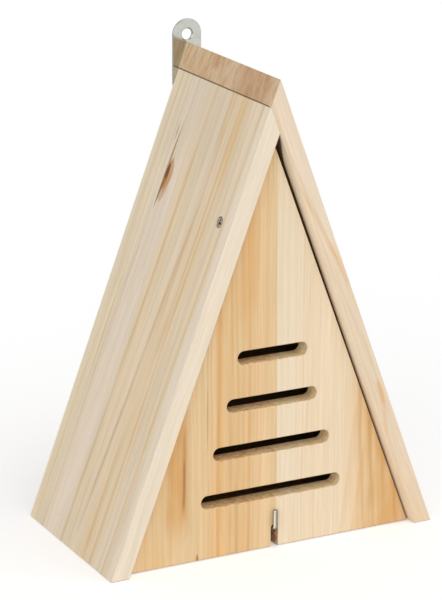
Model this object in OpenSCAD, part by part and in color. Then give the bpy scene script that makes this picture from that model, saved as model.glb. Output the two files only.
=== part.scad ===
// Triangular shelter for ladybirds: two leaning boards that meet at a ridge, a fixed back
// and floor, and a slotted front panel that swings out on two screws at its top.
// A square-bent hook in the floor's front edge turns to hold the panel shut.
// X runs across the front, Y from front to back and Z up. The base stands on Z = 0.

/* [Roof boards] */
// Height from the base to the ridge
house_h = 310; // [290:1:340]
// Width across the base
house_w = 234; // [220:1:260]
// Depth of the roof boards, from front edge to back edge
house_d = 127; // [110:1:170]
// Thickness of the roof boards
board_t = 12; // [10:0.5:14]
// Small bevel along the edges of the wood
arris = 0.4; // [0.2:0.1:0.8]

/* [Front panel] */
// Thickness of the front panel
panel_t = 12; // [10:0.5:14]
// How far the panel's face lies behind the boards' front edges
panel_recess = 6.5; // [5.5:0.5:9]
// Gap across, on each side of the panel, at its foot
gap_foot = 1.4; // [1:0.1:3]
// Gap across, on each side of the panel, level with the inside of the ridge
gap_top = 3.5; // [3.5:0.1:5]
// Gap under the panel
gap_under = 0.5; // [0.3:0.1:2]
// Gap between the panel and the floor that it closes against
gap_stop = 0.2; // [0.1:0.1:1]
// Width of the flat that blunts the panel's point
panel_point_w = 1.6; // [1:0.2:6]
// Where the panel's glue seam lies at its foot, right of the middle
seam_foot_x = 3.9; // [3:0.1:4.5]
// Where the panel's glue seam lies at its point, right of the middle
seam_top_x = 1.9; // [1:0.1:3]

/* [Slots] */
// Height of a slot, and the width of its round ends
slot_w = 9; // [7:0.5:12]
// Height of the lowest slot's middle above the base
slot_low_h = 39; // [34:1:48]
// Rise from one slot to the next
slot_pitch = 31; // [26:0.5:34]
// Length of the lowest slot
slot_low_len = 101; // [80:1:120]
// Length of the second slot from below
slot_second_len = 84; // [60:1:100]
// Length of the third slot from below
slot_third_len = 65; // [50:1:80]
// Length of the highest slot
slot_high_len = 50; // [30:1:60]

/* [Pivot screws] */
// Drop from the ridge to the pivot screws
pivot_drop = 90; // [84:1:110]
// How far the pivots lie behind the panel's face
pivot_behind = 8.5; // [5:0.5:8.5]
// Diameter of a pivot screw's shank
pivot_d = 3.5; // [3:0.1:4]
// Length of a pivot screw under its head
pivot_len = 25; // [22:1:26]
// Diameter of a pivot screw's head
pivot_head_d = 6.5; // [5.5:0.1:7.5]
// Height of a pivot screw's head
pivot_head_h = 2.2; // [1.8:0.1:3]

/* [Latch hook] */
// Diameter of the hook's wire
latch_d = 3; // [2.5:0.1:3.4]
// Where the hook and its notch lie, right of the middle
latch_x = 2.2; // [1.8:0.1:2.8]
// Radius of the hook's bend, at the middle of the wire
latch_bend = 3; // [2.5:0.1:4]
// Gap between the hook's arm and the panel's face
latch_gap = 0.35; // [0.3:0.05:0.8]
// Gap left under the arm when it is turned down
latch_ground_gap = 0.2; // [0.2:0.1:2]
// How far the hook's shank is screwed into the floor
latch_bite = 22; // [15:1:30]
// Width of the notch that lets the turned-down hook through
notch_w = 5; // [4.4:0.1:6]

/* [Floor and back] */
// Thickness of the floor
floor_t = 12; // [10:0.5:14]
// How far the floor's underside lies above the base
floor_lift = 7.2; // [5:0.1:12]
// Thickness of the back panel
back_t = 12; // [10:0.5:14]
// Width of the flat that blunts the back panel's point
back_point_w = 3; // [2:0.5:8]
// Where the back panel's glue seam lies, from the middle
back_seam_x = -8; // [-30:1:20]

/* [Hanger tab] */
// Width of the tab, and the diameter of its round ends
tab_w = 20.5; // [18:0.5:24]
// Thickness of the tab
tab_t = 1.8; // [1.5:0.1:2.5]
// Bevel along the tab's edges
tab_bevel = 0.3; // [0.1:0.1:0.5]
// Diameter of the eye that the house hangs by
eye_d = 7.4; // [6:0.1:8]
// Bevel round the front of the eye
eye_bevel = 0.65; // [0.3:0.05:0.8]
// Height of the eye's lowest point above the ridge
eye_clear = 0.9; // [0.8:0.1:3]
// Drop from the eye to the upper screw
tab_screw_drop = 15; // [14:0.5:17]
// Drop from the upper screw to the lower one
tab_screw_pitch = 16; // [14:0.5:17]
// Diameter of the tab's screws
tab_screw_d = 3; // [2.5:0.1:3.5]
// Length of the tab's screws, head included
tab_screw_len = 16; // [12:1:18]
// Diameter of the tab's screw heads
tab_screw_head_d = 5.6; // [5:0.1:6]

/* [Nails and pins] */
// Diameter of the nails that join the ridge
nail_d = 1.8; // [1.4:0.1:2]
// Length of the ridge nails
nail_len = 30; // [26:1:32]
// Diameter of the ridge nails' small heads
nail_head_d = 2.6; // [2.2:0.1:3]
// How steeply the ridge nails are driven, from level
nail_slope = 58; // [54:1:62]
// Distance from the roof boards' edges to the outer ridge nails
nail_edge = 22; // [20:1:30]
// Diameter of the pins that hold the floor and the back
pin_d = 1.2; // [1:0.1:1.6]
// Length of the pins
pin_len = 28; // [22:1:30]
// Distance from the roof boards' front edges to the front floor pins
pin_front = 40; // [30:1:50]
// Distance between the two floor pins on a side
floor_pin_pitch = 50; // [35:1:55]
// Height of the lowest back pins
back_pin_low_h = 40; // [30:1:50]
// Rise from one back pin to the next
back_pin_pitch = 70; // [55:1:80]

/* [Hidden] */
$fn = 64;

// Fits
turning_fit = 0.05;   // radial play of a shank that turns in wood
driven_fit = 0.02;    // radial room round a shank that is driven or screwed in
head_room = 0.3;      // radial room round a turning screw's head
head_lift = 0.15;     // play under a turning screw's head
head_set = 0.2;       // how far a sunk end or head lies under the face round it
bit_reach = 40;       // how far a drill's path runs on outside the wood

foot_arris = arris + 0.1;   // bevel along the feet, a little wider than the other edges' bevels

// Lean of the boards and where their faces lie
lean = atan2(house_w / 2, house_h);
board_across = board_t / cos(lean);
inner_h = house_h - board_t / sin(lean);
seam_drop = board_t / sin(2 * lean);
seam_x = -seam_drop * sin(lean);
seam_h = house_h - seam_drop * cos(lean);
function half_out(z) = house_w / 2 * (1 - z / house_h);
function half_in(z) = half_out(z) - board_across;

// Front panel
panel_front = panel_recess;
panel_back = panel_front + panel_t;
panel_foot_half = half_in(0) - gap_foot;
panel_slope = (panel_foot_half + gap_top) / inner_h;
panel_lean = atan(panel_slope);
panel_top_h = (panel_foot_half - panel_point_w / 2) / panel_slope;
slot_lens = [slot_low_len, slot_second_len, slot_third_len, slot_high_len];

// Pivots
pivot_h = house_h - pivot_drop;
pivot_y = panel_front + pivot_behind;
pivot_face_x = half_out(pivot_h);
pivot_head_out = pivot_face_x - (pivot_head_d / 2 + head_room) * tan(lean) - head_set;
pivot_seat = pivot_head_out - pivot_head_h;
pivot_head_dome = 0.8;
cross_w = 0.9;
cross_len = 3.6;
cross_depth = 1.3;
small_cross = 0.8;

// Floor, back and latch
floor_front = panel_back + gap_stop;
back_front = house_d - back_t;
floor_top = floor_lift + floor_t;
back_top_h = house_h * (1 - (board_across + back_point_w / 2) * 2 / house_w);
latch_h = floor_lift + floor_t / 2;
latch_arm_y = panel_front - latch_gap - latch_d / 2;
latch_arm = latch_h - latch_ground_gap;
latch_tip_bevel = 0.4;
latch_point = 3;

// Hanger tab
tab_r = tab_w / 2;
eye_h = house_h + eye_clear + eye_d / 2;
screw_hs = [eye_h - tab_screw_drop, eye_h - tab_screw_drop - tab_screw_pitch];
tab_hole_play = 0.2;
total_d = house_d + tab_t;

// Nails and pins
nail_head_h = 1.2;
nail_ys = [nail_edge, house_d / 2, house_d - nail_edge];
nail_mid_x = seam_x / 2;
nail_mid_h = (seam_h + inner_h) / 2;
nail_through = board_t / cos(nail_slope - lean);
nail_sunk = nail_head_d / 2 * tan(nail_slope - lean) + head_set;
pin_sunk = pin_d / 2 * tan(lean) + head_set;
floor_pin_ys = [pin_front, pin_front + floor_pin_pitch];
back_pin_hs = [for (i = [0:2]) back_pin_low_h + i * back_pin_pitch];
back_pin_y = back_front + back_t / 2;

pale_wood = [0.90, 0.82, 0.69];
warm_wood = [0.89, 0.76, 0.55];
light_wood = [0.92, 0.81, 0.64];
plated_steel = [0.78, 0.78, 0.76];

// A polygon's points with each corner cut off at a distance c along both its sides
function cut_corners(pts, c) = let (n = len(pts)) [for (i = [0:n - 1])
    let (p = pts[i], before = pts[(i + n - 1) % n] - p, after = pts[(i + 1) % n] - p)
    each [p + c * before / norm(before), p + c * after / norm(after)]];

function oblong(x0, x1, y0, y1) = [[x0, y0], [x1, y0], [x1, y1], [x0, y1]];

// Stands the object with the middle of its whole depth on the origin
module placed() {
    translate([0, -total_d / 2, 0]) children();
}

// An outline in X and Z, run from depth y0 to depth y1
module run_back(outline, y0, y1) {
    translate([0, y1, 0]) rotate([90, 0, 0]) linear_extrude(height = y1 - y0) polygon(outline);
}

// A slab that leans in from foot_x on the left, with bevelled long edges
module leaning_slab(foot_x, angle, thick, y0, y1) {
    translate([-foot_x, 0, 0]) rotate([0, angle, 0]) translate([0, 0, -house_h])
        linear_extrude(height = 3 * house_h) polygon(cut_corners(oblong(0, thick, y0, y1), arris));
}

// The same slab, leaning in from the right
module leaning_slab_right(foot_x, angle, thick, y0, y1) {
    mirror([1, 0, 0]) leaning_slab(foot_x, angle, thick, y0, y1);
}

// A block across the whole width that bevels the lower front and back edges
module foot_bevels(y0, y1, z0) {
    translate([-house_w, 0, 0]) rotate([90, 0, 90]) linear_extrude(height = 2 * house_w)
        polygon(cut_corners(oblong(y0, y1, z0, 2 * house_h), foot_arris));
}

// A level drill path from the left, from x0 to x1
module bore_x(d, x0, x1, y, z) {
    translate([x0, y, z]) rotate([0, 90, 0]) cylinder(d = d, h = x1 - x0);
}

// Room for a pivot screw in the left board: its shank turns here and its head is sunk
module pivot_room() {
    bore_x(pivot_d + 2 * turning_fit, -pivot_seat - head_lift, -pivot_seat + bit_reach,
        pivot_y, pivot_h);
    bore_x(pivot_head_d + 2 * head_room, -pivot_seat - head_lift - bit_reach, -pivot_seat,
        pivot_y, pivot_h);
}

// The hole that a pivot screw's thread bites in the panel
module pivot_bite() {
    bore_x(pivot_d + 2 * driven_fit, -pivot_seat - bit_reach, -pivot_seat + pivot_len + head_set,
        pivot_y, pivot_h);
}

module pin_at(y, z, extra_d, extra_out) {
    bore_x(pin_d + 2 * extra_d, -half_out(z) + pin_sunk - extra_out, -half_out(z) + pin_sunk + pin_len, y, z);
}

// Left pins, or their holes with some room round and outside them
module floor_pins(extra_d = 0, extra_out = 0) {
    for (y = floor_pin_ys) pin_at(y, latch_h, extra_d, extra_out);
}

module back_pins(extra_d = 0, extra_out = 0) {
    for (z = back_pin_hs) pin_at(back_pin_y, z, extra_d, extra_out);
}

// Puts a nail's own axis on the slanting line through the ridge joint, head upwards
module nail_line() {
    for (y = nail_ys) translate([nail_mid_x, y, nail_mid_h]) rotate([0, 90 - nail_slope, 0])
        translate([0, 0, nail_through - nail_sunk]) children();
}

module nail_holes() {
    nail_line() {
        translate([0, 0, -nail_len]) cylinder(d = nail_d + 2 * driven_fit, h = nail_len);
        translate([0, 0, -nail_head_h]) cylinder(d = nail_head_d + 2 * driven_fit, h = bit_reach);
    }
}

module left_board_body() {
    outline = [[-half_out(0), 0], [-half_in(0), 0], [0, inner_h], [seam_x, seam_h]];
    intersection() {
        run_back(cut_corners(outline, arris), 0, house_d);
        leaning_slab(half_out(0), lean, board_t, 0, house_d);
        foot_bevels(0, house_d, 0);
    }
}

module right_board_body() {
    outline = [[half_out(0), 0], [half_in(0), 0], [0, inner_h], [seam_x, seam_h], [0, house_h]];
    intersection() {
        run_back(cut_corners(outline, arris), 0, house_d);
        leaning_slab_right(half_out(0), lean, board_t, 0, house_d);
        leaning_slab(half_out(0), lean, house_w, 0, house_d);
        foot_bevels(0, house_d, 0);
    }
}

module left_roof_board() {
    color(pale_wood) placed() difference() {
        left_board_body();
        pivot_room();
        nail_holes();
        floor_pins(driven_fit, bit_reach);
        back_pins(driven_fit, bit_reach);
        tab_screw_holes();
    }
}

module right_roof_board() {
    color(pale_wood) placed() difference() {
        right_board_body();
        mirror([1, 0, 0]) {
            pivot_room();
            floor_pins(driven_fit, bit_reach);
            back_pins(driven_fit, bit_reach);
        }
        nail_holes();
        tab_screw_holes();
    }
}

// A slot through the panel with a small bevel where it meets each face
module slot(len, z) {
    straight = len - slot_w;
    translate([-straight / 2, panel_front, z]) {
        for (x = [0, straight]) translate([x, 0, 0]) rotate([-90, 0, 0]) {
            translate([0, 0, -1]) cylinder(d = slot_w, h = panel_t + 2);
            cylinder(d1 = slot_w + 2 * arris, d2 = slot_w, h = arris);
            translate([0, 0, panel_t - arris])
                cylinder(d1 = slot_w, d2 = slot_w + 2 * arris, h = arris);
        }
        rotate([90, 0, 90]) linear_extrude(height = straight) polygon([
            [0, -slot_w / 2 - arris], [arris, -slot_w / 2], [panel_t - arris, -slot_w / 2],
            [panel_t, -slot_w / 2 - arris], [panel_t + 1, -slot_w / 2 - arris],
            [panel_t + 1, slot_w / 2 + arris], [panel_t, slot_w / 2 + arris],
            [panel_t - arris, slot_w / 2], [arris, slot_w / 2], [0, slot_w / 2 + arris],
            [-1, slot_w / 2 + arris], [-1, -slot_w / 2 - arris]]);
    }
}

// The notch that the hook stands in when it is turned down
module notch() {
    translate([latch_x, panel_front - 1, 0]) {
        translate([0, 0, latch_h]) rotate([-90, 0, 0]) cylinder(d = notch_w, h = panel_t + 2);
        translate([-notch_w / 2, 0, -1]) cube([notch_w, panel_t + 2, latch_h + 1]);
    }
}

// Front panel within a side outline, with its slots, notch and pivot holes
module panel_within(side) {
    far = house_w;
    outline = [[seam_foot_x, 0], [side * far, 0], [side * far, panel_top_h], [seam_top_x, panel_top_h]];
    difference() {
        intersection() {
            run_back(outline, panel_front, panel_back);
            leaning_slab(panel_foot_half, panel_lean, far, panel_front, panel_back);
            leaning_slab_right(panel_foot_half, panel_lean, far, panel_front, panel_back);
            foot_bevels(panel_front, panel_back, gap_under);
        }
        for (i = [0:len(slot_lens) - 1]) slot(slot_lens[i], slot_low_h + i * slot_pitch);
        notch();
        pivot_bite();
        mirror([1, 0, 0]) pivot_bite();
    }
}

module front_left_stave() {
    color(warm_wood) placed() panel_within(-1);
}

module front_right_stave() {
    color(light_wood) placed() panel_within(1);
}

// A cross recess cut down from z = 0
module cross_recess(len, w, depth) {
    for (turn = [0, 90]) rotate([0, 0, turn])
        translate([-len / 2, -w / 2, -depth]) cube([len, w, depth + 1]);
}

// Pan-headed screw that points down from its head's underside at z = 0
module pivot_screw() {
    r = pivot_head_d / 2;
    ball = (r * r + pivot_head_dome * pivot_head_dome) / (2 * pivot_head_dome);
    difference() {
        union() {
            intersection() {
                cylinder(r = r, h = pivot_head_h);
                translate([0, 0, pivot_head_h - ball]) sphere(r = ball);
            }
            translate([0, 0, -pivot_len + pivot_d]) cylinder(d = pivot_d, h = pivot_len - pivot_d);
            translate([0, 0, -pivot_len]) cylinder(d1 = pivot_d / 4, d2 = pivot_d, h = pivot_d);
        }
        translate([0, 0, pivot_head_h]) cross_recess(cross_len, cross_w, cross_depth);
    }
}

module pivot_screw_left() {
    color(plated_steel) placed() translate([-pivot_seat - head_lift, pivot_y, pivot_h])
        rotate([0, -90, 0]) pivot_screw();
}

module pivot_screw_right() {
    color(plated_steel) placed() mirror([1, 0, 0])
        translate([-pivot_seat - head_lift, pivot_y, pivot_h]) rotate([0, -90, 0]) pivot_screw();
}

// Square-bent hook, its shank level in the floor and its arm upright before the panel
module latch_hook() {
    r = latch_d / 2;
    shank_from = latch_arm_y + latch_bend;
    shank_to = floor_front + latch_bite;
    arm_straight = latch_arm - latch_bend - latch_tip_bevel;
    color(plated_steel) placed() translate([latch_x, 0, latch_h]) {
        translate([0, shank_from, 0]) rotate([-90, 0, 0]) {
            cylinder(r = r, h = shank_to - latch_point - shank_from);
            translate([0, 0, shank_to - latch_point - shank_from])
                cylinder(r1 = r, r2 = r / 4, h = latch_point);
        }
        translate([0, shank_from, latch_bend]) rotate([0, 90, 0]) rotate([0, 0, -90])
            rotate_extrude(angle = 90) translate([latch_bend, 0]) circle(r = r);
        translate([0, latch_arm_y, latch_bend]) {
            cylinder(r = r, h = arm_straight);
            translate([0, 0, arm_straight])
                cylinder(r1 = r, r2 = r - latch_tip_bevel, h = latch_tip_bevel);
        }
    }
}

module floor_board() {
    outline = [[-half_in(floor_lift), floor_lift], [half_in(floor_lift), floor_lift],
        [half_in(floor_top), floor_top], [-half_in(floor_top), floor_top]];
    color(pale_wood) placed() difference() {
        run_back(outline, floor_front, back_front);
        translate([latch_x, floor_front - 1, latch_h]) rotate([-90, 0, 0])
            cylinder(d = latch_d + 2 * turning_fit, h = latch_bite + 2);
        floor_pins(driven_fit, bit_reach);
        mirror([1, 0, 0]) floor_pins(driven_fit, bit_reach);
    }
}

// Back panel between two sideways limits, let in flush with the boards' back edges
module back_within(x0, x1) {
    outline = [[-half_in(0), 0], [half_in(0), 0], [back_point_w / 2, back_top_h],
        [-back_point_w / 2, back_top_h]];
    difference() {
        intersection() {
            run_back(outline, back_front, house_d);
            foot_bevels(back_front, house_d, 0);
            translate([x0, 0, -1]) cube([x1 - x0, house_d + 1, house_h]);
        }
        back_pins(driven_fit, bit_reach);
        mirror([1, 0, 0]) back_pins(driven_fit, bit_reach);
    }
}

module back_left_stave() {
    color(warm_wood) placed() back_within(-house_w, back_seam_x);
}

module back_right_stave() {
    color(light_wood) placed() back_within(back_seam_x, house_w);
}

// A round end of the tab about an eye or a screw at height z
module tab_end(z) {
    translate([0, house_d, z]) rotate([-90, 0, 0]) rotate_extrude() polygon([
        [0, 0], [tab_r - tab_bevel, 0], [tab_r, tab_bevel], [tab_r, tab_t - tab_bevel],
        [tab_r - tab_bevel, tab_t], [0, tab_t]]);
}

module hanger_plate() {
    color(plated_steel) placed() difference() {
        union() {
            tab_end(eye_h);
            tab_end(screw_hs[1]);
            translate([0, house_d, screw_hs[1]]) linear_extrude(height = eye_h - screw_hs[1])
                polygon(cut_corners(oblong(-tab_r, tab_r, 0, tab_t), tab_bevel));
        }
        translate([0, house_d, eye_h]) rotate([-90, 0, 0]) {
            translate([0, 0, -1]) cylinder(d = eye_d, h = tab_t + 2);
            cylinder(d1 = eye_d + 2 * eye_bevel, d2 = eye_d, h = eye_bevel);
        }
        for (z = screw_hs) translate([0, house_d, z]) rotate([-90, 0, 0]) {
            translate([0, 0, -1]) cylinder(d = tab_screw_d + 2 * tab_hole_play, h = tab_t + 2);
            translate([0, 0, tab_t - head_set - (tab_screw_head_d - tab_screw_d) / 2])
                cylinder(d1 = tab_screw_d + 2 * driven_fit, d2 = tab_screw_head_d + 2 * driven_fit,
                    h = (tab_screw_head_d - tab_screw_d) / 2);
            translate([0, 0, tab_t - head_set]) cylinder(d = tab_screw_head_d + 2 * driven_fit, h = 1);
        }
    }
}

// Countersunk screw of the tab, driven from behind at height z
module tab_screw(z) {
    cone = (tab_screw_head_d - tab_screw_d) / 2;
    translate([0, total_d - head_set, z]) rotate([-90, 0, 0]) difference() {
        union() {
            translate([0, 0, -cone]) cylinder(d1 = tab_screw_d, d2 = tab_screw_head_d, h = cone);
            translate([0, 0, -tab_screw_len + tab_screw_d])
                cylinder(d = tab_screw_d, h = tab_screw_len - tab_screw_d - cone);
            translate([0, 0, -tab_screw_len])
                cylinder(d1 = tab_screw_d / 4, d2 = tab_screw_d, h = tab_screw_d);
        }
        cross_recess(small_cross * cross_len, small_cross * cross_w, small_cross * cross_depth);
    }
}

module tab_screw_holes() {
    for (z = screw_hs) translate([0, total_d - head_set - tab_screw_len - 1, z]) rotate([-90, 0, 0])
        cylinder(d = tab_screw_d + 2 * driven_fit, h = tab_screw_len + bit_reach);
}

module hanger_screw_upper() {
    color(plated_steel) placed() tab_screw(screw_hs[0]);
}

module hanger_screw_lower() {
    color(plated_steel) placed() tab_screw(screw_hs[1]);
}

module ridge_nails() {
    color(plated_steel) placed() nail_line() {
        translate([0, 0, -nail_len]) cylinder(d = nail_d, h = nail_len);
        translate([0, 0, -nail_head_h]) cylinder(d1 = nail_d, d2 = nail_head_d, h = nail_head_h);
    }
}

module floor_pins_left() {
    color(plated_steel) placed() floor_pins();
}

module floor_pins_right() {
    color(plated_steel) placed() mirror([1, 0, 0]) floor_pins();
}

module back_pins_left() {
    color(plated_steel) placed() back_pins();
}

module back_pins_right() {
    color(plated_steel) placed() mirror([1, 0, 0]) back_pins();
}

left_roof_board();
right_roof_board();
front_left_stave();
front_right_stave();
pivot_screw_left();
pivot_screw_right();
latch_hook();
floor_board();
back_left_stave();
back_right_stave();
hanger_plate();
hanger_screw_upper();
hanger_screw_lower();
ridge_nails();
floor_pins_left();
floor_pins_right();
back_pins_left();
back_pins_right();
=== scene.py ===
"""Looks of the ladybug house: its wood, its plated steel and the studio that it is shown in."""

import logging
import math
from collections.abc import Callable, Iterable, Sequence
from dataclasses import dataclass, field
from enum import Enum

import bmesh
import bpy
from mathutils import Matrix, Vector


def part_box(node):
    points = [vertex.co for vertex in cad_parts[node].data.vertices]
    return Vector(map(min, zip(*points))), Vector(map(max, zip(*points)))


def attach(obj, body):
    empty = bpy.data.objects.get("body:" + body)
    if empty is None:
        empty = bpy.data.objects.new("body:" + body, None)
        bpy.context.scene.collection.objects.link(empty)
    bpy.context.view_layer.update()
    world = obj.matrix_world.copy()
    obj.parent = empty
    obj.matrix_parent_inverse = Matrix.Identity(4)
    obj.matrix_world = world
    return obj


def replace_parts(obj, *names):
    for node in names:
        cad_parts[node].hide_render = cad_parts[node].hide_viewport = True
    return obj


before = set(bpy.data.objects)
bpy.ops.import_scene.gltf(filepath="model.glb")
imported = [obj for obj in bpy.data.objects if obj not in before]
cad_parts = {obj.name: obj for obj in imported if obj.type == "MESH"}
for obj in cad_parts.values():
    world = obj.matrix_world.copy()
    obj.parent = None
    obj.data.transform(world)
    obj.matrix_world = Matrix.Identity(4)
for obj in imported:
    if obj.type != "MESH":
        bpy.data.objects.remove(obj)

log = logging.getLogger("ladybug_house")

Colour = tuple[float, float, float]
Point = tuple[float, float, float]

HOUSE = "house"
PANEL = "front_panel"
LATCH = "latch"

# One millimetre in metres, and how near two points lie that become one after a cut.
MM = 0.001
SLIVER_MM = 0.002

# How many points a ring has, how many rings the hook's bend has, and how many one turn of a thread has.
SCREW_SIDES = 28
HOOK_SIDES = 24
FILLER_SIDES = 16
BEND_RINGS = 12
THREAD_RINGS = 10
# The most of a shank's radius that its thread takes away, and how steep the groove's flanks are.
GROOVE_SHARE = 0.35
FLANK_STEEPNESS = 1.6
# A cross recess: its length at the bottom and above the crown, as shares of that at the crown, how far
# above the crown its cutter ends, and the parts of its width that stay and that narrow with the length.
CROSS_FOOT = 0.35
CROSS_OVER = 1.25
CROSS_OVER_MM = 0.5
CROSS_WIDTH = (0.55, 0.45)
# Edges of a cut piece that turn more than this stay sharp.
CUT_CREASE_DEG = 35.0

# Painted shade on the wood that looks into the house, a lighter painted shade on the panel's back, and the
# tint of the walls of its slots.
INNER_PAINTED_SHADE: Colour = (112, 101, 90)
PANEL_BACK_PAINTED_SHADE: Colour = (204, 195, 182)
SLOT_TINT: Colour = (255, 248, 218)
# Painted light on the strip behind a board's front edge, and the tones of torn fibres.
LIP_PAINTED_LIGHT: Colour = (255, 242, 220)
TORN_PALE: Colour = (248, 234, 214)
TORN_DARK: Colour = (176, 142, 108)
# The deepest blotches of cut ends, as shares of their tint's red, green and blue.
END_DEEP = (0.86, 0.82, 0.76)

# How squarely a surface looks along the grain where end grain begins, and where it is nothing else.
END_FACING = (0.35, 0.62)
# The same for the face that looks into the house.
INSIDE_FACING = (0.85, 0.95)
# The height under the ridge over which the painted shade on the inner face moves out to the front edge, and
# how far it stays behind that edge: painted shade in the corner under the ridge.
CORNER_RISE_MM = 26.0
CORNER_EDGE_MM = 0.5
# How far small ripples move the grain, and how far good and bad years move the growth rings.
RIPPLE_MM = 1.2
GOOD_YEARS_MM = 14.0

# How strongly wood and filler shine, and how deep their relief is.
WOOD_SHINE = 0.3
WOOD_RELIEF_MM = 0.06
FILLER_RELIEF_MM = 0.02
TORN_RELIEF = 5.0

WHITE = (1.0, 1.0, 1.0, 1.0)


def painted(colour: Colour) -> tuple[float, float, float, float]:
    """Turns a colour as it looks on screen into the amounts of light that it reflects.

    Args:
        colour: red, green and blue from 0 to 255.

    Returns:
        The linear colour with full cover.
    """
    parts = [c / 255 for c in colour]
    linear = [p / 12.92 if p <= 0.04045 else ((p + 0.055) / 1.055) ** 2.4 for p in parts]
    return (linear[0], linear[1], linear[2], 1.0)


class Value:
    """A number that varies over a surface, held as one output of a material's node."""

    def __init__(self, shade: "Shade", socket: bpy.types.NodeSocket) -> None:
        """Keeps the output that carries the number.

        Args:
            shade: the material that the node is in.
            socket: the node's output.
        """
        self.shade = shade
        self.socket = socket

    def _by(self, operation: str, *others: "Value | float", swap: bool = False) -> "Value":
        """Joins this number with others in a Math node.

        Args:
            operation: Blender's name of the operation.
            others: further numbers, in the operation's order.
            swap: puts this number after the first of the others.

        Returns:
            The operation's result.
        """
        terms: list[Value | float] = [self, *others]
        if swap:
            terms = [terms[1], terms[0], *terms[2:]]
        node = self.shade.node("ShaderNodeMath", operation=operation)
        for slot, term in zip(node.inputs, terms):
            self.shade.feed(slot, term)
        return Value(self.shade, node.outputs[0])

    def __add__(self, other: "Value | float") -> "Value":
        """Adds another number."""
        return self._by("ADD", other)

    def __sub__(self, other: "Value | float") -> "Value":
        """Takes another number away."""
        return self._by("SUBTRACT", other)

    def __rsub__(self, other: float) -> "Value":
        """Takes this number away from a plain one."""
        return self._by("SUBTRACT", other, swap=True)

    def __mul__(self, other: "Value | float") -> "Value":
        """Multiplies by another number."""
        return self._by("MULTIPLY", other)

    def __truediv__(self, other: "Value | float") -> "Value":
        """Divides by another number."""
        return self._by("DIVIDE", other)

    def size(self) -> "Value":
        """Drops the number's sign."""
        return self._by("ABSOLUTE")

    def root(self) -> "Value":
        """Takes the square root."""
        return self._by("SQRT")

    def part(self) -> "Value":
        """Keeps what lies above the last whole number."""
        return self._by("FRACT")

    def whole(self) -> "Value":
        """Keeps the last whole number."""
        return self._by("FLOOR")

    def most(self, other: "Value | float") -> "Value":
        """Takes the larger of this number and another."""
        return self._by("MAXIMUM", other)

    def ease(self, start: "Value | float", end: "Value | float", low: float = 0.0,
             high: float = 1.0) -> "Value":
        """Maps the stretch from start to end smoothly onto low to high, and stays level outside it.

        Args:
            start: where the rise begins.
            end: where it ends.
            low: the result at the start.
            high: the result at the end.

        Returns:
            The eased number.
        """
        node = self.shade.node("ShaderNodeMapRange", interpolation_type="SMOOTHSTEP")
        for slot, term in zip(node.inputs, (self, start, end, low, high)):
            self.shade.feed(slot, term)
        return Value(self.shade, node.outputs[0])


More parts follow.
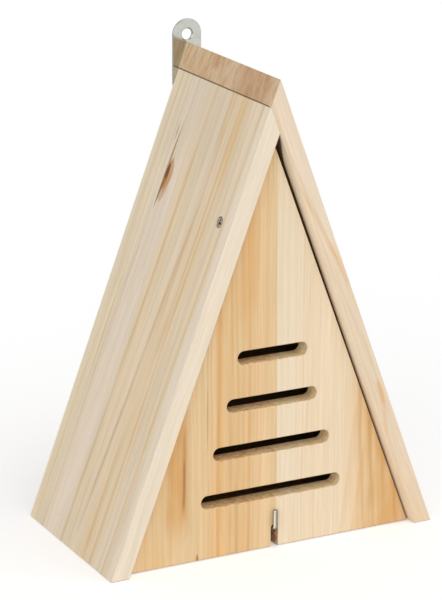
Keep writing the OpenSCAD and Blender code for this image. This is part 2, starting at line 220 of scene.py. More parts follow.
class Shade:
    """One material, whose nodes are made by calls that read as formulas."""

    def __init__(self, name: str) -> None:
        """Starts an empty material with a plain surface.

        Args:
            name: the material's name.
        """
        self.material = bpy.data.materials.new(name)
        self.material.use_nodes = True
        self.tree = self.material.node_tree
        self.tree.nodes.clear()
        self.surface = self.node("ShaderNodeBsdfPrincipled")
        self.out = self.node("ShaderNodeOutputMaterial")
        self.tree.links.new(self.surface.outputs[0], self.out.inputs["Surface"])

    def node(self, kind: str, **settings: object) -> bpy.types.Node:
        """Adds a node.

        Args:
            kind: Blender's name of the node type.
            settings: properties to set on it.

        Returns:
            The new node.
        """
        made = self.tree.nodes.new(kind)
        for key, setting in settings.items():
            setattr(made, key, setting)
        return made

    def feed(self, slot: bpy.types.NodeSocket, term: object) -> None:
        """Links an output to an input, or sets the input to a plain value.

        Args:
            slot: the input.
            term: a Value, an output socket, or a plain value.
        """
        if isinstance(term, Value):
            term = term.socket
        if isinstance(term, bpy.types.NodeSocket):
            self.tree.links.new(term, slot)
        else:
            slot.default_value = term

    def place(self) -> bpy.types.NodeSocket:
        """Gives the point on the object, in metres."""
        return self.node("ShaderNodeTexCoord").outputs["Object"]

    def facing(self, direction: Sequence[float]) -> Value:
        """Tells how much the surface faces along a direction, either way.

        Args:
            direction: a unit vector in the house's frame.

        Returns:
            From 0, edge on, to 1, square on.
        """
        return self.along(self.node("ShaderNodeTexCoord").outputs["Normal"], direction).size()

    def along(self, vector: bpy.types.NodeSocket, direction: Sequence[float]) -> Value:
        """Measures a vector along a direction.

        Args:
            vector: the vector's output.
            direction: the direction, scaled by the unit wanted.

        Returns:
            The dot product.
        """
        node = self.node("ShaderNodeVectorMath", operation="DOT_PRODUCT")
        self.feed(node.inputs[0], vector)
        self.feed(node.inputs[1], tuple(direction))
        return Value(self, node.outputs["Value"])

    def point(self, x: "Value | float", y: "Value | float", z: "Value | float") -> bpy.types.NodeSocket:
        """Joins three numbers into a vector."""
        node = self.node("ShaderNodeCombineXYZ")
        for slot, term in zip(node.inputs, (x, y, z)):
            self.feed(slot, term)
        return node.outputs[0]

    def cloud(self, vector: bpy.types.NodeSocket, detail: float = 2.0, rough: float = 0.5) -> Value:
        """Soft random variation over a vector, one blob to each unit of it.

        Args:
            vector: the point to read it at.
            detail: how many finer layers are added.
            rough: how strong the finer layers are.

        Returns:
            A number from 0 to 1, mostly near the middle.
        """
        return Value(self, self._noise(vector, detail, rough).outputs[0])

    def drift(self, vector: bpy.types.NodeSocket, detail: float = 2.0) -> tuple[Value, Value, Value]:
        """Three independent soft variations over a vector, each from about -0.5 to 0.5."""
        node = self._noise(vector, detail, 0.5)
        split = self.node("ShaderNodeSeparateXYZ")
        self.feed(split.inputs[0], node.outputs[1])
        x, y, z = (Value(self, out) - 0.5 for out in split.outputs)
        return x, y, z

    def _noise(self, vector: bpy.types.NodeSocket, detail: float, rough: float) -> bpy.types.Node:
        """Adds the noise node that cloud and drift read.

        Args:
            vector: the point to read it at.
            detail: how many finer layers are added.
            rough: how strong the finer layers are.

        Returns:
            The node.
        """
        node = self.node("ShaderNodeTexNoise", noise_dimensions="3D")
        self.feed(node.inputs["Vector"], vector)
        self.feed(node.inputs["Scale"], 1.0)
        self.feed(node.inputs["Detail"], detail)
        self.feed(node.inputs["Roughness"], rough)
        return node

    def chance(self, number: Value) -> Value:
        """Gives each whole number a random value of its own, from 0 to 1."""
        node = self.node("ShaderNodeTexWhiteNoise", noise_dimensions="1D")
        self.feed(node.inputs["W"], number)
        return Value(self, node.outputs[0])

    def mix(self, first: object, second: object, share: "Value | float",
            how: str = "MIX") -> bpy.types.NodeSocket:
        """Mixes two colours.

        Args:
            first: a colour or an output.
            second: the colour or output that is laid over it.
            share: how much of the second shows.
            how: Blender's name of the way of mixing.

        Returns:
            The mixed colour's output.
        """
        node = self.node("ShaderNodeMix", data_type="RGBA", blend_type=how)
        # Inputs 6 and 7 and output 2 are the node's colours; the others are for numbers and vectors.
        self.feed(node.inputs[0], share)
        self.feed(node.inputs[6], first)
        self.feed(node.inputs[7], second)
        return node.outputs[2]

    def finish(self, colour: bpy.types.NodeSocket, rough: "Value | float", relief: Value, depth_mm: float,
               **fixed: float) -> bpy.types.Material:
        """Joins colour, roughness and relief to the surface.

        Args:
            colour: the base colour's output.
            rough: the roughness.
            relief: height, where 1 is one depth above 0.
            depth_mm: what a relief of 1 stands for.
            fixed: plain values for further inputs, with _ for each space.

        Returns:
            The finished material.
        """
        bump = self.node("ShaderNodeBump")
        bump.inputs["Strength"].default_value = 1.0
        bump.inputs["Distance"].default_value = depth_mm * MM
        self.feed(bump.inputs["Height"], relief)
        self.feed(self.surface.inputs["Base Color"], colour)
        self.feed(self.surface.inputs["Roughness"], rough)
        self.feed(self.surface.inputs["Normal"], bump.outputs[0])
        for key, term in fixed.items():
            self.feed(self.surface.inputs[key.replace("_", " ")], term)
        return self.material


@dataclass(frozen=True)
class Layer:
    """One layer of random variation in a material.

    Attributes:
        blobs: how many blobs it has in a millimetre of each of three measures.
        detail: how many finer layers are added.
        rough: how strong the finer layers are.
        moved: which of the measures a seed moves, counted from 0.
    """

    blobs: Point
    detail: float = 2.0
    rough: float = 0.5
    moved: int = 2

    def spot(self, shade: Shade, measures: Sequence[Value], seed: float = 0.0) -> bpy.types.NodeSocket:
        """Gives the point that the layer is read at.

        Args:
            shade: the material that the nodes go into.
            measures: three measures of the surface point, in millimetres.
            seed: moves the variation.

        Returns:
            The point, where a blob is about 1 wide.
        """
        scaled = [measure * blobs for measure, blobs in zip(measures, self.blobs)]
        if seed:
            scaled[self.moved] = scaled[self.moved] + seed
        return shade.point(*scaled)

    def cloud(self, shade: Shade, measures: Sequence[Value], seed: float = 0.0) -> Value:
        """Reads the layer at a point, with the same arguments as spot, as a number from 0 to 1."""
        return shade.cloud(self.spot(shade, measures, seed), self.detail, self.rough)


# The wander of the grain, from slow to quick.
SWAY = Layer((0.006, 0.022, 0.022), moved=0)
RIPPLE = Layer((0.03, 0.12, 0.12), moved=1)
# The bands and fibres of planed wood, from wide to narrow.
BROAD = Layer((0.0035, 0.055, 0.055), moved=1)
STREAK = Layer((0.005, 0.32, 0.32), 3.0, 0.55)
FIBRE = Layer((0.008, 0.95, 0.95), 4.0, 0.6)
PORES = Layer((0.14, 8.0, 8.0), 3.0, 0.65)
# Stretches where a late line is faint, blotches of cut ends, and torn fibres.
FAINT = Layer((0.012, 0.3, 0.3))
PATCH = Layer((0.05, 0.22, 0.07), 5.0, 0.68)
TORN = Layer((0.45, 0.3, 0.9), 4.0, 0.7)
# Scratches and stains of plated steel, and the grit of filler.
SCRATCH = Layer((0.35, 9.0, 9.0), 4.0, 0.7)
STAIN = Layer((0.3, 0.3, 0.3), 4.0, 0.6)
GRIT = Layer((6.0, 6.0, 6.0), 4.0, 0.7)


class MarkShape(Enum):
    """How a mark lies in the wood."""

    LINE = "a thin line that follows the grain"
    ZONE = "a broad stretch with soft sides"
    SPINDLE = "a mark that narrows to a point at both ends"
    KNOT = "an oval"


class Side(Enum):
    """Which of a board's measures a mark's sideways place is given in."""

    FACE = "across the broad face"
    EDGE = "through the board, seen on its front edge"


@dataclass(frozen=True)
class Mark:
    """A streak, a band of tone or a pocket of resin in a board.

    Attributes:
        shape: how it lies.
        along_mm: its middle, along the grain.
        across_mm: its middle, across the grain.
        half_length_mm: half its length.
        half_width_mm: half its width.
        colour: its colour.
        strength: how much of that colour shows, from 0 to 1.
        lean: how far it moves across for each millimetre along.
        rag_mm: how far its sides wander.
        side: where it shows.
    """

    shape: MarkShape
    along_mm: float
    across_mm: float
    half_length_mm: float
    half_width_mm: float
    colour: Colour
    strength: float
    lean: float = 0.0
    rag_mm: float = 1.0
    side: Side = Side.FACE


@dataclass(frozen=True)
class BoardAxes:
    """A board's own directions in the house's frame.

    Attributes:
        origin_mm: the point that the board's measures start from.
        along: the unit vector along the grain.
        across: the unit vector across the grain, on the board's broad face.
        through: the unit vector out of the board's broad face.
    """

    origin_mm: Point
    along: Point
    across: Point
    through: Point

    def measures(self, shade: Shade) -> tuple[Value, Value, Value]:
        """Gives a surface point along, across and through the board, in millimetres.

        Args:
            shade: the material that the nodes go into.

        Returns:
            The three measures.
        """
        place, start = shade.place(), Vector(self.origin_mm)
        found = []
        for axis in (self.along, self.across, self.through):
            scaled = shade.along(place, Vector(axis) / MM)
            found.append(scaled - start.dot(Vector(axis)))
        return found[0], found[1], found[2]


@dataclass(frozen=True)
class Rings:
    """The growth rings that the board was cut from.

    Attributes:
        heart_across_mm: the tree's heart, across the board.
        heart_through_mm: the tree's heart, through the board.
        spacing_mm: one year's growth.
        taper: how much the rings widen for each millimetre along.
        wander_mm: how far the grain wanders.
    """

    heart_across_mm: float
    heart_through_mm: float
    spacing_mm: float
    taper: float = 0.0
    wander_mm: float = 5.0


@dataclass(frozen=True)
class Finish:
    """What a piece's surface is like. Each kind of finish builds its own material.

    Attributes:
        name: the material's name.
    """

    name: str

    def make(self) -> bpy.types.Material:
        """Builds the material."""
        raise NotImplementedError

    def dress(self, piece: bpy.types.Object) -> None:
        """Puts the finish on every material slot of a piece."""
        cover(piece, self.make())


@dataclass(frozen=True)
class WoodFinish(Finish):
    """Planed bare softwood with growth rings, fibres, end grain and its own marks, and with painted shade and
    painted light on the face that looks into the house.

    Attributes:
        axes: the board's directions.
        rings: the growth rings.
        early: the pale wood of spring.
        late: the darker line that ends a year's growth.
        warm: the tone that some bands of the wood lean to.
        end: the tint of cut ends.
        contrast: how strongly the late lines show.
        bands: how strongly the soft bands along the grain show.
        seed: moves the random variation, so that no two boards match.
        inner: the painted shade, multiplied in, on the face that looks into the house.
        inner_from_mm: how far from the front edge that painted shade begins.
        corner_mm: where along the board that painted shade reaches the front edge, in the corner under the
            ridge.
        cut_from_mm: how deep under the broad face every wall has the tint of cut ends.
        blotch: how strongly cut ends are blotched.
        torn: how strongly torn fibres show on cut walls.
        lip_light: how strongly painted light makes the inner face paler between the front edge and the
            painted shade.
        marks: what is peculiar to this board.
    """

    axes: BoardAxes
    rings: Rings
    early: Colour
    late: Colour
    warm: Colour
    end: Colour = (228, 209, 190)
    contrast: float = 0.5
    bands: float = 1.0
    seed: float = 0.0
    inner: Colour = (255, 255, 255)
    inner_from_mm: float = -1000.0
    corner_mm: float = 2000.0
    cut_from_mm: float = 1000.0
    blotch: float = 1.0
    torn: float = 0.0
    lip_light: float = 0.0
    marks: tuple[Mark, ...] = ()

    def make(self) -> bpy.types.Material:
        """Builds the material.

        Returns:
            The finished material.
        """
        shade = Shade(self.name)
        measures = self.axes.measures(shade)
        grain = self._grain(shade, measures)
        late = self._late(shade, grain)
        broad, streak, fibre, pores = (layer.cloud(shade, grain, self.seed)
                                       for layer in (BROAD, STREAK, FIBRE, PORES))
        warmth = (broad * 0.6 + streak * 0.4).ease(0.4, 0.6)
        colour = shade.mix(painted(self.early), painted(self.warm), warmth)
        colour = shade.mix(colour, painted(self.late), late * self.contrast)
        for mark in self.marks:
            colour = shade.mix(colour, painted(mark.colour), self._cover(shade, mark, measures))

        cut = measures[2].ease(-self.cut_from_mm - 0.8, -self.cut_from_mm, 1.0, 0.0)
        ends = shade.facing(self.axes.along).ease(*END_FACING).most(cut)
        bands = (broad - 0.5) * 0.12 + (streak - 0.5) * 0.26 + (fibre - 0.5) * 0.34
        bands = bands * (1.0 - ends * 0.5) * self.bands
        tone = bands + (pores - 0.5) * 0.14 + 1.0
        colour = shade.mix(colour, shade.point(tone, tone, tone + bands * 0.5), 1.0, "MULTIPLY")
        colour = shade.mix(colour, self._end_tint(shade, late, pores, grain), ends, "MULTIPLY")

        torn = TORN.cloud(shade, grain, self.seed)
        ragged = ends * self.torn
        colour = shade.mix(colour, painted(TORN_PALE), torn.ease(0.46, 0.6) * ragged)
        colour = shade.mix(colour, painted(TORN_DARK), torn.ease(0.36, 0.46, 0.8, 0.0) * ragged)
        # Painted shade on the face that looks into the house, and painted light on the strip behind its front
        # edge.
        colour = self._inner_face(shade, colour, measures)
        rough = (pores - 0.5) * 0.25 + ends * 0.15 + 0.6
        relief = pores * 0.4 + fibre * 0.5 + late * 0.4 + ends * pores * 1.6 + ragged * torn * TORN_RELIEF
        return shade.finish(colour, rough, relief, WOOD_RELIEF_MM, Specular_IOR_Level=WOOD_SHINE)

    def _grain(self, shade: Shade, measures: Sequence[Value]) -> tuple[Value, Value, Value]:
        """Gives the measures along, across and through the board with the grain's wander.

        Args:
            shade: the material that the nodes go into.
            measures: the straight measures.

        Returns:
            The measures that the grain follows.
        """
        along, across, through = measures
        sway = shade.drift(SWAY.spot(shade, measures, self.seed))
        ripple = shade.drift(RIPPLE.spot(shade, measures, self.seed))
        wander = self.rings.wander_mm * 2
        v = across + sway[0] * wander + ripple[0] * RIPPLE_MM
        w = through + sway[1] * wander + ripple[1] * RIPPLE_MM
        return along, v, w

    def _inner_face(self, shade: Shade, colour: bpy.types.NodeSocket,
                    measures: Sequence[Value]) -> bpy.types.NodeSocket:
        """Paints shade on the face that looks into the house and paints light on a paler strip behind the
        front edge.

        Args:
            shade: the material that the nodes go into.
            colour: the wood's colour so far.
            measures: the measures along, across and through the board.

        Returns:
            The colour with the painted shade and painted light.
        """
        along, across = measures[0], measures[1]
        normal = shade.node("ShaderNodeTexCoord").outputs["Normal"]
        inside = shade.along(normal, -Vector(self.axes.through)).ease(*INSIDE_FACING)
        # Painted shade reaches out to the front edge in the corner under the ridge.
        corner = along.ease(self.corner_mm - CORNER_RISE_MM, self.corner_mm)
        start = corner * (CORNER_EDGE_MM - self.inner_from_mm) + self.inner_from_mm
        deep = across.ease(start, start + corner * 3.0 + 1.0)
        # Painted light on the strip between the front edge and the painted shade.
        colour = shade.mix(colour, painted(LIP_PAINTED_LIGHT), inside * (1.0 - deep) * self.lip_light)
        # Painted shade, multiplied in, deeper in than the strip behind the front edge.
        return shade.mix(colour, painted(self.inner), inside * deep, "MULTIPLY")

    def _late(self, shade: Shade, grain: Sequence[Value]) -> Value:
        """Tells how much late wood lies at a point.

        Args:
            shade: the material that the nodes go into.
            grain: the measures that the grain follows.

        Returns:
            From 0 to 1.
        """
        along, v, w = grain
        dv, dw = v - self.rings.heart_across_mm, w - self.rings.heart_through_mm
        radius = (dv * dv + dw * dw).root() + along * self.rings.taper
        good_years = shade.cloud(shade.point(radius * 0.045, self.seed, along * 0.001), 2.0)
        year = (radius + good_years * GOOD_YEARS_MM) / self.rings.spacing_mm
        grown = year.part()
        strength = shade.chance(year.whole() + self.seed * 7.0).ease(0.0, 1.0, 0.1, 1.0)
        faint = FAINT.cloud(shade, grain, self.seed).ease(0.3, 0.62, 0.45, 1.0)
        return grown.ease(0.15, 0.88) * grown.ease(0.9, 1.0, 1.0, 0.0) * strength * faint

    def _cover(self, shade: Shade, mark: Mark, measures: Sequence[Value]) -> Value:
        """Tells how much of a mark shows at a point.

        Args:
            shade: the material that the nodes go into.
            mark: the mark.
            measures: the measures along, across and through the board.

        Returns:
            The mark's share, from 0 to its strength.
        """
        along, across, through = measures
        away = along - mark.along_mm
        spot = shade.point(along * 0.035 + mark.across_mm, across * 0.3, through * 0.3 + self.seed)
        rag = shade.cloud(spot, 3.0)
        place = through if mark.side is Side.EDGE else across
        side = place - mark.across_mm - away * mark.lean + (rag - 0.5) * 2 * mark.rag_mm
        if mark.shape is MarkShape.SPINDLE:
            room = away.size().ease(0.0, mark.half_length_mm, mark.half_width_mm, 0.0)
            share = (side.size() / room.most(0.02)).ease(0.6, 1.05, mark.strength, 0.0)
        elif mark.shape is MarkShape.KNOT:
            long, wide = away / mark.half_length_mm, side / mark.half_width_mm
            share = (long * long + wide * wide).root().ease(0.7, 1.0, mark.strength, 0.0)
        else:
            ends = away.size().ease(mark.half_length_mm * 0.5, mark.half_length_mm, 1.0, 0.0)
            inner = 0.0 if mark.shape is MarkShape.LINE else mark.half_width_mm * 0.3
            fade = shade.cloud(shade.point(along * 0.02 + mark.across_mm, across * 0.05, self.seed), 2.0)
            share = side.size().ease(inner, mark.half_width_mm, mark.strength, 0.0) * ends
            share = share * fade.ease(0.3, 0.6, 0.55, 1.0)
        if mark.side is Side.EDGE:
            share = share * across.ease(3.0, 9.0, 1.0, 0.0)
        return share

    def _end_tint(self, shade: Shade, late: Value, pores: Value,
                  grain: Sequence[Value]) -> bpy.types.NodeSocket:
        """Gives the tint that cut ends have: darker and blotched, with open pores.

        Args:
            shade: the material that the nodes go into.
            late: how much late wood lies at the point.
            pores: the finest variation.
            grain: the measures that the grain follows.

        Returns:
            The colour to multiply with.
        """
        patch = PATCH.cloud(shade, grain, self.seed)
        dark = late * 0.15 + (pores - 0.5) * 0.4 + patch.ease(0.3, 0.72) * 0.62
        red, green, blue = (tint * share for tint, share in zip(self.end, END_DEEP))
        return shade.mix(painted(self.end), painted((red, green, blue)), dark.ease(0.0, 1.0) * self.blotch)


@dataclass(frozen=True)
class PlatedFinish(Finish):
    """Steel with a thin plating, fine scratches, faint stains and darker edges, and on the hook a painted
    highlight.

    Attributes:
        colour: the plating's colour.
        dull: the colour where it has stained.
        rough: how much it blurs what it mirrors.
        stain: how strongly the stains show.
        brush: the direction that the fine scratches run in.
        scratch_mm: the depth of the scratches.
        face: where the full colour shows: the broad faces' direction, and on the hook its painted
            highlight's.
        rim: the colour elsewhere: the edges beside the broad faces, and on the hook the wire round its
            painted highlight.
    """

    colour: Colour
    dull: Colour
    rough: float
    stain: float = 0.3
    brush: Point = (0.0, 0.0, 1.0)
    scratch_mm: float = 0.004
    face: Point | None = None
    rim: Colour = (140, 140, 134)

    def make(self) -> bpy.types.Material:
        """Builds the material.

        Returns:
            The finished material.
        """
        shade = Shade(self.name)
        place, brush = shade.place(), Vector(self.brush)
        side = brush.orthogonal().normalized()
        measures = [shade.along(place, d / MM) for d in (brush, side, brush.cross(side))]
        scratch = SCRATCH.cloud(shade, measures)
        cloudy = STAIN.cloud(shade, measures)
        colour = shade.mix(painted(self.colour), painted(self.dull), cloudy.ease(0.42, 0.75) * self.stain)
        if self.face:
            # Darker edges beside broad faces; on the hook, a painted highlight.
            colour = shade.mix(painted(self.rim), colour, shade.facing(self.face).ease(0.75, 0.97))
        rough = (scratch - 0.5) * 0.18 + (cloudy - 0.5) * 0.12 + self.rough
        return shade.finish(colour, rough.most(0.04), scratch, self.scratch_mm, Metallic=1.0)


@dataclass(frozen=True)
class FillerFinish(Finish):
    """Wood filler, smoothed flush over a sunk pin.

    Attributes:
        colour: the filler's colour.
    """

    colour: Colour

    def make(self) -> bpy.types.Material:
        """Builds the material.

        Returns:
            The finished material.
        """
        shade = Shade(self.name)
        place = shade.place()
        measures = [shade.along(place, Vector(a) / MM) for a in ((1, 0, 0), (0, 1, 0), (0, 0, 1))]
        grit = GRIT.cloud(shade, measures)
        tone = (grit - 0.5) * 0.3 + 1.0
        colour = shade.mix(painted(self.colour), shade.point(tone, tone, tone), 1.0, "MULTIPLY")
        return shade.finish(colour, grit * 0.1 + 0.7, grit, FILLER_RELIEF_MM, Specular_IOR_Level=WOOD_SHINE)


def cover(piece: bpy.types.Object, material: bpy.types.Material) -> None:
    """Puts a material on every slot of a piece, or on a first slot where it has none.

    Args:
        piece: the object.
        material: its material.
    """
    if not piece.material_slots:
        piece.data.materials.append(material)
    for slot in piece.material_slots:
        slot.material = material


def skin(name: str, rings: Sequence[Sequence[Vector]], crease_deg: float = 40.0) -> bpy.types.Object:
    """Makes one closed surface over a row of rings.

    Args:
        name: the piece's name.
        rings: rings of equally many points, or of one point where the surface ends.
        crease_deg: edges that turn more than this stay sharp.

    Returns:
        The piece.
    """
    made = bmesh.new()
    rows = [[made.verts.new(p) for p in ring] for ring in rings]
    for low, high in zip(rows, rows[1:]):
        count = max(len(low), len(high))
        for i in range(count):
            j = (i + 1) % count
            corners = [low[i % len(low)], low[j % len(low)], high[j % len(high)], high[i % len(high)]]
            made.faces.new(list(dict.fromkeys(corners)))
    bmesh.ops.recalc_face_normals(made, faces=made.faces)
    mesh = bpy.data.meshes.new(name)
    made.to_mesh(mesh)
    made.free()
    mesh.shade_smooth()
    mesh.set_sharp_from_angle(angle=math.radians(crease_deg))
    piece = bpy.data.objects.new(name, mesh)
    bpy.context.scene.collection.objects.link(piece)
    return piece


def even(radius_mm: float) -> Callable[[float], float]:
    """Gives a hoop's radius that is the same all round, in metres."""
    return lambda turn: radius_mm * MM


def hoop(middle: Vector, right: Vector, up: Vector, radius: Callable[[float], float],
         count: int) -> list[Vector]:
    """Gives points round a middle.

    Args:
        middle: the hoop's middle.
        right: the unit vector at a turn of 0.
        up: the unit vector at a quarter turn.
        radius: the radius at a turn from 0 to 1.
        count: how many points.

    Returns:
        The points in order.
    """
    points = []
    for i in range(count):
        turn = i / count
        a = 2 * math.pi * turn
        points.append(middle + (right * math.cos(a) + up * math.sin(a)) * radius(turn))
    return points


def carve(piece: bpy.types.Object, cutter: bpy.types.Object) -> None:
    """Cuts one piece's shape out of another and removes the cutter.

    Points that the cut leaves almost in one place are merged, so that no sliver faces stay.

    Args:
        piece: the piece that is cut.
        cutter: the shape that is taken away.
    """
    cut = piece.modifiers.new("cut", "BOOLEAN")
    cut.operation, cut.solver, cut.object = "DIFFERENCE", "MANIFOLD", cutter
    graph = bpy.context.evaluated_depsgraph_get()
    mesh = bpy.data.meshes.new_from_object(piece.evaluated_get(graph))
    piece.modifiers.clear()
    piece.data = mesh
    bpy.data.objects.remove(cutter)
    made = bmesh.new()
    made.from_mesh(mesh)
    bmesh.ops.remove_doubles(made, verts=made.verts, dist=SLIVER_MM * MM)
    made.to_mesh(mesh)
    made.free()
    mesh.shade_smooth()
    mesh.set_sharp_from_angle(angle=math.radians(CUT_CREASE_DEG))


@dataclass(frozen=True)
class Thread:
    """A screw's thread, cut along a stretch of its shank.

    Attributes:
        start_mm: where it begins, from the shank's inner end.
        end_mm: where it stops.
        pitch_mm: the rise in one turn.
        depth_mm: how deep it is cut.
    """

    start_mm: float
    end_mm: float
    pitch_mm: float
    depth_mm: float

    def cut(self, at_mm: float, turn: float) -> float:
        """Gives how far the shank is cut back.

        Args:
            at_mm: the place along the shank.
            turn: the place round it, from 0 to 1.

        Returns:
            The cut's depth in millimetres.
        """
        if not self.start_mm <= at_mm <= self.end_mm:
            return 0.0
        fade = min(1.0, (self.end_mm - at_mm) / self.pitch_mm)
        flank = abs(((at_mm / self.pitch_mm - turn) % 1.0) * 2 - 1)
        return self.depth_mm * fade * min(1.0, FLANK_STEEPNESS * (1 - flank))


@dataclass(frozen=True)
class Shank:
    """A threaded shank that narrows to a blunt end.

    Attributes:
        radius_mm: its radius over the thread.
        length_mm: its length from the blunt end.
        thread: its thread.
        first_mm: how far from the blunt end the first ring lies.
        blunt: how thick the blunt end is, as a share of the radius.
        tip_mm: how far from the blunt end the full radius is reached.
    """

    radius_mm: float
    length_mm: float
    thread: Thread
    first_mm: float
    blunt: float
    tip_mm: float

    def rings(self, place: Callable[[float], Vector], right: Vector, up: Vector, rows: int,
              count: int) -> list[list[Vector]]:
        """Gives the rings that the shank's surface runs over.

        Args:
            place: gives the shank's middle, in metres, at a distance from the blunt end.
            right: the unit vector at a turn of 0.
            up: the unit vector at a quarter turn.
            rows: how many steps there are from the first ring to the last.
            count: how many points a ring has.

        Returns:
            The rings, from the blunt end on.
        """
        rings = []
        for i in range(rows + 1):
            at = self.first_mm + (self.length_mm - self.first_mm) * i / rows
            full = self.radius_mm * min(1.0, self.blunt + (1 - self.blunt) * at / self.tip_mm)
            reach = (lambda turn, a=at, f=full: (f - min(f * GROOVE_SHARE, self.thread.cut(a, turn))) * MM)
            rings.append(hoop(place(at), right, up, reach, count))
        return rings


@dataclass(frozen=True)
class Screw:
    """A cross-headed wood screw.

    Attributes:
        name: the piece's name.
        seat_mm: the point on its axis level with the head's underside.
        out: the unit vector from its point to its head.
        shank_d: the thread's outer diameter.
        length: its length under the head, or in all where the head is sunk.
        head: the head's outline, as pairs of radius and height over the seat.
        thread: its thread.
        cross_len: the cross recess, from wing to wing.
        cross_w: the width of a wing.
        cross_depth: the recess's depth.
        cross_turn: how far the cross is turned, from 0 to 1.
        slant: how far the crown moves out for each millimetre down.
    """

    name: str
    seat_mm: Vector
    out: Vector
    shank_d: float
    length: float
    head: tuple[tuple[float, float], ...]
    thread: Thread
    cross_len: float
    cross_w: float
    cross_depth: float
    cross_turn: float = 0.0
    slant: float = 0.0

    def build(self) -> bpy.types.Object:
        """Makes the screw's mesh: point, thread, neck, head and recess.

        Returns:
            The piece.
        """
        right = self.out.orthogonal().normalized()
        up = self.out.cross(right)
        shank = Shank(self.shank_d / 2, self.length + self.head[0][1], self.thread,
                      first_mm=0.2, blunt=0.2, tip_mm=self.shank_d)
        rows = math.ceil((shank.length_mm - shank.first_mm) / (self.thread.pitch_mm / THREAD_RINGS))
        rings = [[self._at(-self.length)]]
        rings += shank.rings(lambda at: self._at(at - self.length), right, up, rows, SCREW_SIDES)
        top = self.head[-1][1]
        for radius, height in self.head:
            ring = hoop(self._at(height), right, up, even(radius), SCREW_SIDES)
            rings.append(self._slanted(ring, height / top if top else 0.0))
        rings.append([self._at(top)])
        piece = skin(self.name, rings)
        for turn in (0.0, 0.25):
            carve(piece, self._wing(top, right, up, turn + self.cross_turn))
        return piece

    def _at(self, height_mm: float) -> Vector:
        """Gives the point on the axis at a height over the seat, in metres."""
        return (self.seat_mm + self.out * height_mm) * MM

    def _slanted(self, points: Iterable[Vector], share: float) -> list[Vector]:
        """Moves points out along the axis, the further the lower they lie.

        Args:
            points: the points, in metres.
            share: how much of the crown's slant they take.

        Returns:
            The moved points.
        """
        level = self.seat_mm.z * MM
        return [p + self.out * ((level - p.z) * self.slant * share) for p in points]

    def _wing(self, top_mm: float, right: Vector, up: Vector, turn: float) -> bpy.types.Object:
        """Makes the tapered block that cuts one bar of the cross.

        Args:
            top_mm: the height of the head's top.
            right: a unit vector across the head.
            up: the unit vector square to it.
            turn: how far the bar is turned, from 0 to 1.

        Returns:
            The cutter.
        """
        a = 2 * math.pi * turn
        x = right * math.cos(a) + up * math.sin(a)
        y = up * math.cos(a) - right * math.sin(a)
        levels = ((CROSS_FOOT, top_mm - self.cross_depth), (1.0, top_mm),
                  (CROSS_OVER, top_mm + CROSS_OVER_MM))
        straight, narrowing = CROSS_WIDTH
        rings = []
        for share, height in levels:
            long, wide = self.cross_len / 2 * share, self.cross_w / 2 * (straight + narrowing * share)
            corners = [self._at(height) + (x * i * long + y * j * wide) * MM
                       for i, j in ((-1, -1), (1, -1), (1, 1), (-1, 1))]
            rings.append(self._slanted(corners, 1.0))
        bottom, top = (sum(ring, Vector()) / len(ring) for ring in (rings[0], rings[-1]))
        return skin(f"{self.name}_cutter", [[bottom], *rings, [top]])


